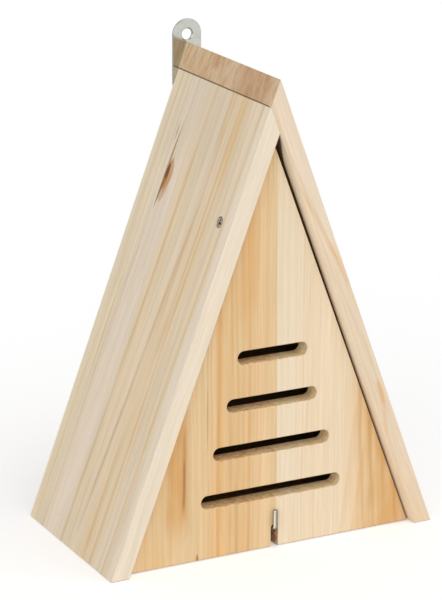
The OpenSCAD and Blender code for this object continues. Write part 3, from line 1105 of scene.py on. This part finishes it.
@dataclass
class RoofBoards:
    """The two leaning boards of the roof.

    Attributes:
        lean_deg: how far each leans in.
        ridge_mm: the height of the ridge.
        front_mm: where the boards' front edges lie, from front to back.
    """

    lean_deg: float = 20.6774
    ridge_mm: float = 310.0
    front_mm: float = -64.4

    def axes(self, side: int) -> BoardAxes:
        """Gives a board's directions, measured from the ridge and the front edge.

        Args:
            side: -1 for the left board, 1 for the right one.

        Returns:
            The board's directions.
        """
        s, c = math.sin(math.radians(self.lean_deg)), math.cos(math.radians(self.lean_deg))
        return BoardAxes((0.0, self.front_mm, self.ridge_mm), (-side * s, 0.0, c), (0.0, 1.0, 0.0),
                         (side * c, 0.0, s))

    def build(self) -> list[bpy.types.Object]:
        """Gives the boards, which keep their own solids."""
        return [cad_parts["left_roof_board"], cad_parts["right_roof_board"]]

    def dress(self, pieces: Sequence[bpy.types.Object]) -> None:
        """Gives each board its own wood.

        Args:
            pieces: the left board and the right one.
        """
        tan, rust, grey = (216, 176, 122), (96, 56, 16), (204, 188, 164)
        line, zone, spindle, edge = MarkShape.LINE, MarkShape.ZONE, MarkShape.SPINDLE, Side.EDGE
        knot = MarkShape.KNOT
        # Both boards get painted shade on their inner faces and painted light on the strip behind their front
        # edges.
        left = WoodFinish(
            "left_roof_wood", self.axes(-1), Rings(60.0, 190.0, 7.5, 0.01, 4.0),
            early=(237, 221, 199), late=(216, 188, 146), warm=(235, 214, 181), contrast=0.35, seed=3.1,
            inner=INNER_PAINTED_SHADE, inner_from_mm=9.5, corner_mm=-32.0, lip_light=0.6,
            marks=(
                Mark(zone, -160, 37, 420, 22, (230, 202, 160), 0.6, -0.02, 3.0),
                Mark(zone, -35, 33, 45, 5.5, (224, 184, 124), 0.5, 0.0, 2.0),
                Mark(zone, -32, 48, 30, 3, (228, 182, 108), 0.6, 0.0, 1.5),
                Mark(zone, -160, 70, 420, 13, (228, 206, 170), 0.6, 0.0, 3.0),
                Mark(zone, -150, 92, 420, 15, (236, 219, 202), 0.7, 0.0, 3.0),
                Mark(zone, -150, 118, 420, 13, (230, 214, 182), 0.6, 0.0, 3.0),
                Mark(zone, -160, 3, 420, 7, (240, 226, 206), 0.6, 0.0, 2.0),
                Mark(zone, -10, 80, 80, 60, (218, 202, 176), 0.5, 0.0, 4.0),
                Mark(line, -180, 12.5, 420, 2.6, (214, 178, 128), 0.5, -0.022, 0.8),
                Mark(line, -160, 19.5, 300, 1.8, grey, 0.3, -0.01, 0.8),
                Mark(line, -80, 30.5, 120, 3.2, tan, 0.45, -0.03, 1.0),
                Mark(line, -250, 33, 150, 2.6, tan, 0.5, -0.006, 1.0),
                Mark(line, -110, 36, 110, 2.4, tan, 0.45, -0.02, 1.0),
                Mark(line, -80, 45, 120, 2.8, tan, 0.5, -0.02, 1.0),
                Mark(line, -215, 54, 130, 3.0, (204, 160, 108), 0.6, -0.066, 0.8),
                Mark(line, -70, 58, 110, 2.2, grey, 0.35, -0.01, 0.8),
                Mark(line, -260, 65, 150, 2.0, tan, 0.3, -0.04, 0.8),
                Mark(line, -180, 73.8, 420, 2.8, (208, 168, 118), 0.55, -0.027, 0.8),
                Mark(line, -290, 44, 50, 4.0, tan, 0.5, -0.01, 1.2),
                Mark(line, -90, 82, 140, 1.6, grey, 0.3, 0.0, 0.8),
                Mark(line, -80, 104, 150, 1.6, (204, 180, 140), 0.4, 0.01, 1.4),
                Mark(line, -90, 111, 200, 1.4, (204, 180, 140), 0.45, 0.0, 1.6),
                Mark(line, -110, 118, 300, 1.8, (204, 178, 136), 0.4, 0.0, 1.6),
                Mark(line, -200, 106, 200, 1.4, (204, 180, 140), 0.3, 0.0, 1.2),
                Mark(spindle, -76, 98.9, 34, 1.5, (164, 122, 72), 0.75, -0.053, 0.4),
                Mark(knot, -93, 95.6, 11, 4.4, (206, 168, 134), 0.7, -0.1, 1.0),
                Mark(spindle, -84, 95.2, 15, 6.0, (200, 146, 82), 0.8, -0.02, 0.9),
                Mark(spindle, -85, 97.4, 13, 3.0, (156, 102, 44), 0.8, -0.06, 0.6),
                Mark(knot, -82, 97.2, 6.0, 2.2, rust, 0.85, -0.06, 0.5),
                Mark(spindle, -96, 99.4, 15, 1.3, (136, 92, 44), 0.8, -0.07, 0.4),
                Mark(spindle, -56, 101.8, 8, 0.9, (160, 116, 70), 0.6, 0.0, 0.3),
                Mark(zone, -18.4, 63.5, 0.6, 400, (168, 124, 82), 0.45, 0.0, 0.0),
            ))
        right = WoodFinish(
            "right_roof_wood", self.axes(1), Rings(-50.0, -100.0, 4.2, 0.05, 6.0),
            early=(235, 216, 192), late=(218, 184, 144), warm=(232, 207, 174), end=(243, 232, 218),
            contrast=0.35, seed=8.4, inner=INNER_PAINTED_SHADE, inner_from_mm=9.5, corner_mm=-32.0, lip_light=0.6,
            marks=(
                Mark(zone, -6, 30, 16, 30, (214, 180, 148), 0.75, 0.0, 8.0),
                Mark(zone, -1, 82, 8, 6, (206, 152, 106), 0.6, 0.0, 3.0),
                Mark(zone, -8, 58, 16, 3, (244, 226, 200), 0.5, 0.0, 2.0),
                # Painted highlight along the back arris of the top strip.
                Mark(zone, -6, 126.8, 16, 2.2, (252, 242, 222), 0.9, 0.0, 0.2),
                Mark(line, -132, -2.2, 20, 3.4, (226, 174, 114), 0.6, -0.1, 1.2, edge),
                Mark(line, -100, -7.0, 38, 2.2, (226, 178, 118), 0.45, -0.143, 0.8, edge),
                Mark(line, -227, -4.6, 11, 2.6, (222, 168, 108), 0.75, 0.1, 1.2, edge),
                Mark(line, -240, -6.0, 20, 2.2, (226, 172, 110), 0.55, 0.2, 0.8, edge),
                Mark(line, -200, -9.5, 120, 1.4, (222, 186, 140), 0.3, 0.0, 0.5, edge),
                Mark(knot, -210, 64, 10, 7, (206, 164, 118), 0.8, 0.0, 1.6),
                Mark(knot, -210, 64, 6.5, 4.6, (160, 108, 66), 0.9, 0.0, 1.0),
                Mark(knot, -211, 64.5, 2.6, 1.8, (108, 66, 38), 0.9, 0.0, 0.6),
            ))
        left.dress(pieces[0])
        right.dress(pieces[1])


@dataclass
class FrontPanel:
    """The swinging front panel, glued up from two staves.

    Attributes:
        face_mm: where the panel's face lies, from front to back.
    """

    face_mm: float = -57.9

    def axes(self) -> BoardAxes:
        """Gives the staves' directions, measured from the middle of the base."""
        return BoardAxes((0.0, self.face_mm, 0.0), (0.0, 0.0, 1.0), (1.0, 0.0, 0.0), (0.0, -1.0, 0.0))

    def build(self) -> list[bpy.types.Object]:
        """Gives the staves, which keep their own solids."""
        return [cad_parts["front_left_stave"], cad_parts["front_right_stave"]]

    def dress(self, pieces: Sequence[bpy.types.Object]) -> None:
        """Gives each stave its own wood.

        Args:
            pieces: the left stave and the right one.
        """
        line, zone, spindle = MarkShape.LINE, MarkShape.ZONE, MarkShape.SPINDLE
        peach = (230, 192, 144)
        # Both staves get a lighter painted shade on their backs.
        left = WoodFinish(
            "left_stave_wood", self.axes(), Rings(-320.0, 30.0, 3.4, 0.004, 2.5),
            early=(232, 206, 164), late=(212, 166, 112), warm=(230, 196, 148), contrast=0.5, bands=1.1,
            seed=1.7, end=SLOT_TINT, inner=PANEL_BACK_PAINTED_SHADE, cut_from_mm=0.4, blotch=0.6, torn=0.6,
            marks=(
                Mark(zone, 140, -7, 330, 12, peach, 0.7, 0.0, 2.0),
                Mark(zone, 30, -4, 90, 6, (234, 206, 164), 0.6, 0.0, 1.5),
                Mark(zone, 140, -22, 330, 10, (224, 178, 118), 0.5, 0.0, 2.0),
                Mark(zone, 120, -34, 330, 9, (226, 184, 126), 0.6, 0.03, 2.0),
                Mark(zone, 215, -18, 70, 9, (220, 170, 106), 0.6, 0.0, 2.0),
                Mark(zone, 60, -52, 130, 8, (228, 197, 150), 0.8, 0.0, 1.5),
                Mark(zone, 70, -68, 62, 13, (214, 162, 98), 0.85, 0.0, 2.0),
                Mark(zone, 20, -84, 60, 12, (228, 190, 136), 0.7, 0.0, 2.0),
                Mark(line, 110, -38, 330, 2.6, (216, 158, 94), 0.75, 0.0, 0.6),
                Mark(line, 110, -29.5, 330, 1.8, (214, 164, 104), 0.5, 0.0, 0.6),
                Mark(line, 60, -16.5, 160, 2.0, (214, 164, 106), 0.5, 0.0, 0.6),
                Mark(line, 20, -25.5, 40, 1.8, (212, 160, 100), 0.5, 0.0, 0.5),
                Mark(spindle, 96, -46.4, 30, 0.6, (164, 126, 80), 0.45, 0.0, 0.3),
                Mark(line, 62, -62.6, 36, 2.4, (190, 132, 74), 0.65, 0.012, 0.8),
                Mark(line, 54, -62.8, 20, 1.3, (150, 98, 50), 0.55, 0.012, 0.4),
                Mark(spindle, 2.0, -53.4, 4.5, 1.1, (176, 120, 70), 0.8, 0.0, 0.4),
            ))
        right = WoodFinish(
            "right_stave_wood", self.axes(), Rings(96.0, -30.0, 8.0, 0.12, 4.0),
            early=(238, 219, 190), late=(220, 178, 124), warm=(236, 211, 174), contrast=0.35, bands=0.9,
            seed=5.9, end=SLOT_TINT, inner=PANEL_BACK_PAINTED_SHADE, cut_from_mm=0.4, blotch=0.6, torn=0.6,
            marks=(
                Mark(zone, 130, 12, 330, 16, (238, 220, 192), 0.85, 0.0, 2.0),
                Mark(zone, 110, 38, 330, 18, (238, 218, 188), 0.75, 0.0, 2.0),
                Mark(zone, 30, 88, 125, 34, (220, 174, 112), 0.95, 0.0, 3.0),
                Mark(line, 55, 66, 90, 2.4, (214, 160, 96), 0.45, -0.05, 1.0),
                Mark(line, 60, 72.5, 80, 2.2, (210, 154, 88), 0.5, -0.06, 1.0),
                Mark(line, 45, 82, 70, 2.0, (212, 160, 96), 0.4, -0.08, 1.0),
                Mark(line, 20, 92, 60, 2.8, (216, 156, 86), 0.6, -0.1, 1.0),
                Mark(line, 40, 77, 90, 2.0, (234, 202, 150), 0.5, -0.06, 1.0),
                # Painted shade: dark brown on the right wall of the notch at the panel's foot, and in a thin
                # line beside it.
                Mark(zone, 0, 4.7, 30, 0.6, (150, 88, 30), 1.0, 0.0, 0.0),
                Mark(line, 120, 31, 330, 1.6, (228, 198, 154), 0.35, 0.0, 0.5),
                Mark(line, 120, 46, 330, 1.4, (228, 198, 154), 0.3, 0.0, 0.5),
                Mark(line, 150, 22, 330, 1.2, (226, 196, 152), 0.3, 0.0, 0.5),
            ))
        left.dress(pieces[0])
        right.dress(pieces[1])


@dataclass
class NestBox:
    """The floor and the fixed back of the shelter.

    Attributes:
        back_mm: where the back panel's outer face lies, from front to back.
        floor_mm: the height of the floor's top.
    """

    back_mm: float = 62.6
    floor_mm: float = 19.2

    def build(self) -> list[bpy.types.Object]:
        """Gives the floor and the back staves, which keep their own solids."""
        return [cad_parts[n] for n in ("floor_board", "back_left_stave", "back_right_stave")]

    def dress(self, pieces: Sequence[bpy.types.Object]) -> None:
        """Gives each piece its own wood.

        Args:
            pieces: the floor, the left back stave and the right one.
        """
        line, zone, knot = MarkShape.LINE, MarkShape.ZONE, MarkShape.KNOT
        level = BoardAxes((0.0, 0.0, self.floor_mm), (1.0, 0.0, 0.0), (0.0, 1.0, 0.0), (0.0, 0.0, 1.0))
        upright = BoardAxes((0.0, self.back_mm, 0.0), (0.0, 0.0, 1.0), (1.0, 0.0, 0.0), (0.0, 1.0, 0.0))
        # The floor's wood is painted darker all over: painted shade for the inside of the house.
        WoodFinish("floor_wood", level, Rings(-20.0, -60.0, 5.0, 0.03, 5.0), early=(160, 134, 102),
                   late=(140, 108, 74), warm=(154, 124, 90), seed=11.3).dress(pieces[0])
        # The back staves get painted shade on their inner faces.
        WoodFinish("left_back_wood", upright, Rings(-140.0, -30.0, 4.2, 0.02, 4.0),
                   early=(232, 209, 170), late=(210, 168, 116), warm=(228, 194, 148), seed=14.2,
                   inner=INNER_PAINTED_SHADE, marks=(
                       Mark(knot, 150, -24, 9, 6.4, (204, 154, 100), 0.8, 0.0, 1.6),
                       Mark(knot, 150, -24, 6, 4.2, (152, 98, 56), 0.9, 0.0, 1.0),
                       Mark(knot, 149, -23.6, 2.4, 1.6, (100, 58, 32), 0.9, 0.0, 0.6),
                       Mark(zone, 90, -50, 160, 14, (222, 180, 126), 0.4),
                   )).dress(pieces[1])
        WoodFinish("right_back_wood", upright, Rings(52.0, -22.0, 7.5, 0.12, 5.0),
                   early=(237, 217, 182), late=(214, 166, 108), warm=(234, 204, 160), seed=17.8,
                   inner=INNER_PAINTED_SHADE, marks=(
                       Mark(line, 120, 14, 300, 1.8, (208, 162, 108), 0.5),
                   )).dress(pieces[2])


@dataclass
class PivotScrews:
    """The two flat-crowned screws that the front panel swings on.

    Attributes:
        depth_mm: where they lie, from front to back.
        height_mm: their height over the base.
        shank_d: the thread's diameter.
        length: the length under the head.
        head_d: the head's diameter.
        head_h: the head's height.
        plain_head_h: the height of the head of the plain solid that the screw stands for.
        slant: how far the boards' leaning faces, which the crowns lie flush with, move out for each
            millimetre down.
    """

    depth_mm: float = -49.4
    height_mm: float = 220.0
    shank_d: float = 3.5
    length: float = 25.0
    head_d: float = 6.5
    head_h: float = 3.55
    plain_head_h: float = 2.2
    slant: float = 0.3774

    def build(self) -> list[bpy.types.Object]:
        """Makes both screws in the place of their plain solids.

        Returns:
            The left screw and the right one.
        """
        pieces = []
        for side, word in ((-1, "left"), (1, "right")):
            node = f"pivot_screw_{word}"
            low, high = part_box(node)
            outer = low.x if side < 0 else high.x
            seat = Vector((outer / MM - side * self.plain_head_h, self.depth_mm, self.height_mm))
            thread = Thread(start_mm=0.6, end_mm=14.5, pitch_mm=1.5, depth_mm=0.42)
            piece = Screw(f"{node}_turned", seat, Vector((side, 0.0, 0.0)), self.shank_d, self.length,
                          self._outline(), thread, cross_len=4.6, cross_w=1.25, cross_depth=0.9,
                          cross_turn=0.07, slant=self.slant).build()
            pieces.append(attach(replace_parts(piece, node), PANEL))
        return pieces

    def _outline(self) -> tuple[tuple[float, float], ...]:
        """Gives the head's outline from its underside to its crown."""
        r, h = self.head_d / 2, self.head_h
        return ((r - 0.12, 0.0), (r, 0.12), (r, h - 0.36), (r - 0.08, h - 0.18), (r - 0.3, h - 0.06),
                (r - 0.8, h - 0.02), (r * 0.35, h))

    def dress(self, pieces: Iterable[bpy.types.Object]) -> None:
        """Gives the screws their zinc."""
        zinc = PlatedFinish("zinc_pivot", (164, 156, 144), (118, 110, 98), 0.4, 0.6, (1.0, 0.0, 0.0),
                            face=(1.0, 0.0, 0.0), rim=(98, 91, 81))
        for piece in pieces:
            zinc.dress(piece)


@dataclass
class HangerTab:
    """The metal tab behind the ridge and its two countersunk screws.

    Attributes:
        back_mm: where the tab's outer face lies, from front to back.
        head_set: how far a head lies under that face.
        heights_mm: the screws' heights over the base.
        shank_d: the thread's diameter.
        length: a screw's length with its head.
        head_d: the head's diameter.
    """

    back_mm: float = 64.4
    head_set: float = 0.2
    heights_mm: tuple[float, float] = (299.6, 283.6)
    shank_d: float = 3.0
    length: float = 16.0
    head_d: float = 5.6

    def build(self) -> list[bpy.types.Object]:
        """Makes the screws in the place of their plain solids, and gives the tab with them.

        Returns:
            The tab, the upper screw and the lower one.
        """
        pieces = [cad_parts["hanger_plate"]]
        cone = (self.head_d - self.shank_d) / 2
        for word, height in zip(("upper", "lower"), self.heights_mm):
            node = f"hanger_screw_{word}"
            seat = Vector((0.0, self.back_mm - self.head_set, height))
            outline = ((self.shank_d / 2, -cone), (self.head_d / 2, -0.12), (self.head_d / 2, 0.0))
            thread = Thread(start_mm=0.5, end_mm=self.length - cone - 1.5, pitch_mm=1.35, depth_mm=0.36)
            piece = Screw(f"{node}_turned", seat, Vector((0.0, 1.0, 0.0)), self.shank_d, self.length, outline,
                          thread, cross_len=3.0, cross_w=0.75, cross_depth=1.05).build()
            pieces.append(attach(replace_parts(piece, node), HOUSE))
        return pieces

    def dress(self, pieces: Sequence[bpy.types.Object]) -> None:
        """Gives the tab and its screws their plating.

        Args:
            pieces: the tab and the screws.
        """
        tab = PlatedFinish("plated_tab", (200, 201, 194), (176, 176, 164), 0.15, 0.5, scratch_mm=0.003,
                           face=(0.0, 1.0, 0.0), rim=(150, 150, 142))
        tab.dress(pieces[0])
        zinc = PlatedFinish("zinc_tab_screw", (176, 172, 164), (124, 118, 106), 0.34, 0.5, (0.0, 1.0, 0.0))
        for piece in pieces[1:]:
            zinc.dress(piece)


@dataclass
class LatchHook:
    """The square-bent screw hook that holds the panel shut.

    Attributes:
        across_mm: where it lies, right of the middle.
        height_mm: the shank's height over the base.
        wire_d: the wire's diameter.
        bend: the bend's radius at the wire's middle.
        thread: the thread on its shank.
        arm_end: the rings of the arm's upper end, as pairs of how far each is drawn in and lies down.
    """

    across_mm: float = 2.2
    height_mm: float = 13.2
    wire_d: float = 3.0
    bend: float = 3.0
    thread: Thread = Thread(start_mm=0.4, end_mm=18.5, pitch_mm=1.3, depth_mm=0.36)
    arm_end: tuple[tuple[float, float], ...] = ((0.0, 5.0), (0.0, 0.45), (0.1, 0.18), (0.28, 0.05),
                                                (0.55, 0.0))

    def build(self) -> list[bpy.types.Object]:
        """Makes the hook in the place of its plain solid.

        Returns:
            The hook, as a list of one piece.
        """
        low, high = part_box("latch_hook")
        back, front, top = high.y / MM, low.y / MM, high.z / MM
        r = self.wire_d / 2
        arm_y = front + r
        right = Vector((1.0, 0.0, 0.0))
        shank = Shank(r, back - arm_y - self.bend, self.thread, first_mm=0.15, blunt=0.25, tip_mm=3.0)
        rows = math.ceil(shank.length_mm / (self.thread.pitch_mm / THREAD_RINGS))
        rings = [[self._point(back, self.height_mm)]]
        rings += shank.rings(lambda at: self._point(back - at, self.height_mm), right,
                             Vector((0.0, 0.0, 1.0)), rows, HOOK_SIDES)
        for i in range(1, BEND_RINGS + 1):
            a = math.pi / 2 * i / BEND_RINGS
            middle = self._point(arm_y + self.bend * (1 - math.sin(a)),
                                 self.height_mm + self.bend * (1 - math.cos(a)))
            rings.append(hoop(middle, right, Vector((0.0, math.sin(a), math.cos(a))), even(r), HOOK_SIDES))
        for inset, drop in self.arm_end:
            middle = self._point(arm_y, top - drop)
            rings.append(hoop(middle, right, Vector((0.0, 1.0, 0.0)), even(r - inset), HOOK_SIDES))
        rings.append([self._point(arm_y, top)])
        piece = skin("latch_hook_bent", rings)
        return [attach(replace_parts(piece, "latch_hook"), LATCH)]

    def _point(self, y_mm: float, z_mm: float) -> Vector:
        """Gives a point in the hook's own upright plane, in metres."""
        return Vector((self.across_mm, y_mm, z_mm)) * MM

    def dress(self, pieces: Iterable[bpy.types.Object]) -> None:
        """Gives the hook its bright plating, with a painted highlight where the wire faces front left."""
        bright = PlatedFinish("hook_plating_painted_highlight", (230, 230, 229), (196, 194, 190), 0.14, 0.3,
                              face=(-0.842, -0.539, 0.0), rim=(146, 142, 137))
        for piece in pieces:
            bright.dress(piece)


@dataclass
class NailsAndPins:
    """The nails of the ridge, the thin pins of floor and back, and the filler over the pins.

    Attributes:
        foot_mm: from the middle to a board's outer face at the base.
        ridge_mm: the height of the ridge.
        pin_d: a pin's diameter.
        sunk_mm: how far a pin's end lies inside the board's face, measured level.
        rim_mm: how far the filler's rim lies inside that face.
        crown_mm: how far the filler's middle stands out from its rim.
        places_mm: where the pins lie, as pairs from front to back and over the base.
    """

    foot_mm: float = 117.0
    ridge_mm: float = 310.0
    pin_d: float = 1.2
    sunk_mm: float = 0.426
    rim_mm: float = 0.02
    crown_mm: float = 0.015
    places_mm: dict[str, tuple[tuple[float, float], ...]] = field(default_factory=lambda: {
        "floor": ((-24.4, 13.2), (25.6, 13.2)),
        "back": ((56.6, 40.0), (56.6, 110.0), (56.6, 180.0)),
    })

    def build(self) -> list[bpy.types.Object]:
        """Makes the filler over each pin.

        Returns:
            The pieces of filler.
        """
        pieces = []
        for what, places in self.places_mm.items():
            for side, word in ((-1, "left"), (1, "right")):
                for i, (y, z) in enumerate(places, 1):
                    piece = self._plug(f"{what}_pin_filler_{word}_{i}", side, y, z)
                    pieces.append(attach(piece, HOUSE))
        return pieces

    def _plug(self, name: str, side: int, y: float, z: float) -> bpy.types.Object:
        """Makes one plug of filler, from the pin's end out to the leaning face.

        Args:
            name: the piece's name.
            side: -1 on the left, 1 on the right.
            y: its place from front to back.
            z: its height.

        Returns:
            The piece.
        """
        right, up = Vector((0.0, 1.0, 0.0)), Vector((0.0, 0.0, 1.0))
        end = self.foot_mm * (1 - z / self.ridge_mm) - self.sunk_mm
        middle = Vector((side * end, y, z)) * MM
        inner = hoop(middle, right, up, even(self.pin_d / 2), FILLER_SIDES)
        outer = []
        for p in inner:
            face = self.foot_mm * (1 - p.z / MM / self.ridge_mm) - self.rim_mm
            outer.append(Vector((side * face * MM, p.y, p.z)))
        crown = sum(outer, Vector()) / len(outer) + Vector((side * self.crown_mm * MM, 0.0, 0.0))
        return skin(name, [[middle], inner, outer, [crown]], crease_deg=60.0)

    def dress(self, pieces: Iterable[bpy.types.Object]) -> None:
        """Gives the filler its tone, and the nails and pins their steel."""
        filler = FillerFinish("wood_filler", (228, 204, 170))
        for piece in pieces:
            filler.dress(piece)
        steel = PlatedFinish("nail_steel_bare", (138, 134, 126), (92, 84, 74), 0.42, 0.6, (1.0, 0.0, 0.0))
        for node in ("ridge_nails", "floor_pins_left", "floor_pins_right", "back_pins_left",
                     "back_pins_right"):
            steel.dress(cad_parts[node])


@dataclass(frozen=True)
class Lamp:
    """A distant soft lamp that shines at the house.

    Attributes:
        name: the lamp's name.
        towards: the direction in which it stands, seen from the house.
        spread_deg: how wide it looks from the house.
        strength: its light in watts on each square metre.
    """

    name: str
    towards: Point
    spread_deg: float
    strength: float

    def build(self) -> None:
        """Adds the lamp to the scene."""
        data = bpy.data.lights.new(self.name, "SUN")
        data.angle, data.energy = math.radians(self.spread_deg), self.strength
        lamp = bpy.data.objects.new(self.name, data)
        lamp.location = self.towards
        lamp.rotation_euler = (-Vector(self.towards)).to_track_quat("-Z", "Y").to_euler()
        bpy.context.scene.collection.objects.link(lamp)


@dataclass
class Studio:
    """The pale floor, the soft lamps, the white surroundings and the camera.

    Attributes:
        camera_m: where the camera stands.
        turn_deg: how far it looks to the right of straight ahead.
        tilt_deg: how far it looks down.
        roll_deg: how far it is turned about its line of sight.
        sensor_mm: the long side of its picture plane.
        lens_mm: its focal length for that side.
        lamps: the lamps.
        surround: the strength of the light from all round.
        floor_half_m: half the floor's side.
        floor_tone: how much light the floor reflects, from 0 to 1.
        floor_glow: the light that the floor adds of its own, so that it shows as nearly white.
    """

    camera_m: Point = (-0.7675, -1.4609, 0.6636)
    turn_deg: float = 27.50
    tilt_deg: float = 17.25
    roll_deg: float = 0.26
    sensor_mm: float = 36.0
    lens_mm: float = 160.08
    lamps: tuple[Lamp, ...] = (
        Lamp("key", (0.55, -0.85, 0.95), 70.0, 0.92),
        Lamp("fill", (-1.0, -0.95, 0.15), 80.0, 1.6),
    )
    surround: float = 0.515
    floor_half_m: float = 6.0
    floor_tone: float = 0.82
    floor_glow: float = 0.33

    def build(self) -> list[bpy.types.Object]:
        """Sets up the studio.

        Returns:
            The floor, as a list of one piece.
        """
        self._camera()
        for lamp in self.lamps:
            lamp.build()
        self._world()
        bpy.context.scene.view_settings.view_transform = "Standard"
        floor = self._floor()
        return [floor]

    def _camera(self) -> None:
        """Stands the camera where the photograph was taken from."""
        yaw, pitch, roll = (math.radians(d) for d in (self.turn_deg, self.tilt_deg, self.roll_deg))
        ahead = Vector((math.sin(yaw) * math.cos(pitch), math.cos(yaw) * math.cos(pitch), -math.sin(pitch)))
        level = Vector((math.cos(yaw), -math.sin(yaw), 0.0))
        upright = level.cross(ahead)
        right = level * math.cos(roll) + upright * math.sin(roll)
        up = upright * math.cos(roll) - level * math.sin(roll)
        data = bpy.data.cameras.new("camera")
        data.lens, data.sensor_width = self.lens_mm, self.sensor_mm
        data.clip_start, data.clip_end = 0.05, 50.0
        camera = bpy.data.objects.new("camera", data)
        turned = Matrix((right, up, -ahead)).transposed().to_4x4()
        camera.matrix_world = Matrix.Translation(self.camera_m) @ turned
        bpy.context.scene.collection.objects.link(camera)
        bpy.context.scene.camera = camera

    def _world(self) -> None:
        """Surrounds the house with even pale light that shows as white."""
        world = bpy.data.worlds.new("surroundings")
        world.use_nodes = True
        bpy.context.scene.world = world
        tree = world.node_tree
        tree.nodes.clear()
        light, seen = tree.nodes.new("ShaderNodeBackground"), tree.nodes.new("ShaderNodeBackground")
        for node, strength in ((light, self.surround), (seen, 1.0)):
            node.inputs["Color"].default_value = WHITE
            node.inputs["Strength"].default_value = strength
        self._show(tree, light.outputs[0], seen.outputs[0], tree.nodes.new("ShaderNodeOutputWorld"))

    def _show(self, tree: bpy.types.NodeTree, lit: bpy.types.NodeSocket, seen: bpy.types.NodeSocket,
              out: bpy.types.Node) -> None:
        """Shows one shader to eyes and mirrors and uses another for light.

        Args:
            tree: the nodes.
            lit: the shader that lights the scene.
            seen: the shader that is seen, also in mirrors and through glass.
            out: the node that takes the result.
        """
        path = tree.nodes.new("ShaderNodeLightPath")
        either = path.outputs["Is Camera Ray"]
        for word in ("Is Glossy Ray", "Is Transmission Ray"):
            more = tree.nodes.new("ShaderNodeMath")
            more.operation = "MAXIMUM"
            tree.links.new(either, more.inputs[0])
            tree.links.new(path.outputs[word], more.inputs[1])
            either = more.outputs[0]
        choose = tree.nodes.new("ShaderNodeMixShader")
        tree.links.new(either, choose.inputs[0])
        tree.links.new(lit, choose.inputs[1])
        tree.links.new(seen, choose.inputs[2])
        tree.links.new(choose.outputs[0], out.inputs["Surface"])

    def _floor(self) -> bpy.types.Object:
        """Lays a wide pale floor under the house, which keeps its shadow.

        Returns:
            The floor.
        """
        mesh = bpy.data.meshes.new("studio_floor")
        half, tone = self.floor_half_m, self.floor_tone
        mesh.from_pydata([(-half, -half, 0.0), (half, -half, 0.0), (half, half, 0.0), (-half, half, 0.0)], [],
                         [(0, 1, 2, 3)])
        floor = bpy.data.objects.new("studio_floor", mesh)
        bpy.context.scene.collection.objects.link(floor)
        shade = Shade("studio_floor")
        shade.surface.inputs["Base Color"].default_value = (tone, tone, tone, 1.0)
        shade.surface.inputs["Roughness"].default_value = 0.9
        shade.surface.inputs["Specular IOR Level"].default_value = 0.0
        glow = shade.node("ShaderNodeEmission")
        glow.inputs["Color"].default_value = WHITE
        glow.inputs["Strength"].default_value = self.floor_glow
        both = shade.node("ShaderNodeAddShader")
        shade.tree.links.new(shade.surface.outputs[0], both.inputs[0])
        shade.tree.links.new(glow.outputs[0], both.inputs[1])
        self._show(shade.tree, shade.surface.outputs[0], both.outputs[0], shade.out)
        cover(floor, shade.material)
        return floor


def main() -> None:
    """Builds and dresses each sub-assembly in order, and writes how large the result is."""
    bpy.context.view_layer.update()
    Studio().build()
    assemblies = (RoofBoards(), FrontPanel(), NestBox(), PivotScrews(), HangerTab(), LatchHook(),
                  NailsAndPins())
    for assembly in assemblies:
        pieces = assembly.build()
        assembly.dress(pieces)
        for piece in pieces:
            log.info("%s: %s, %d faces", type(assembly).__name__, piece.name, len(piece.data.polygons))


if __name__ == "__main__":
    logging.basicConfig(level=logging.INFO, format="%(message)s")
    main()
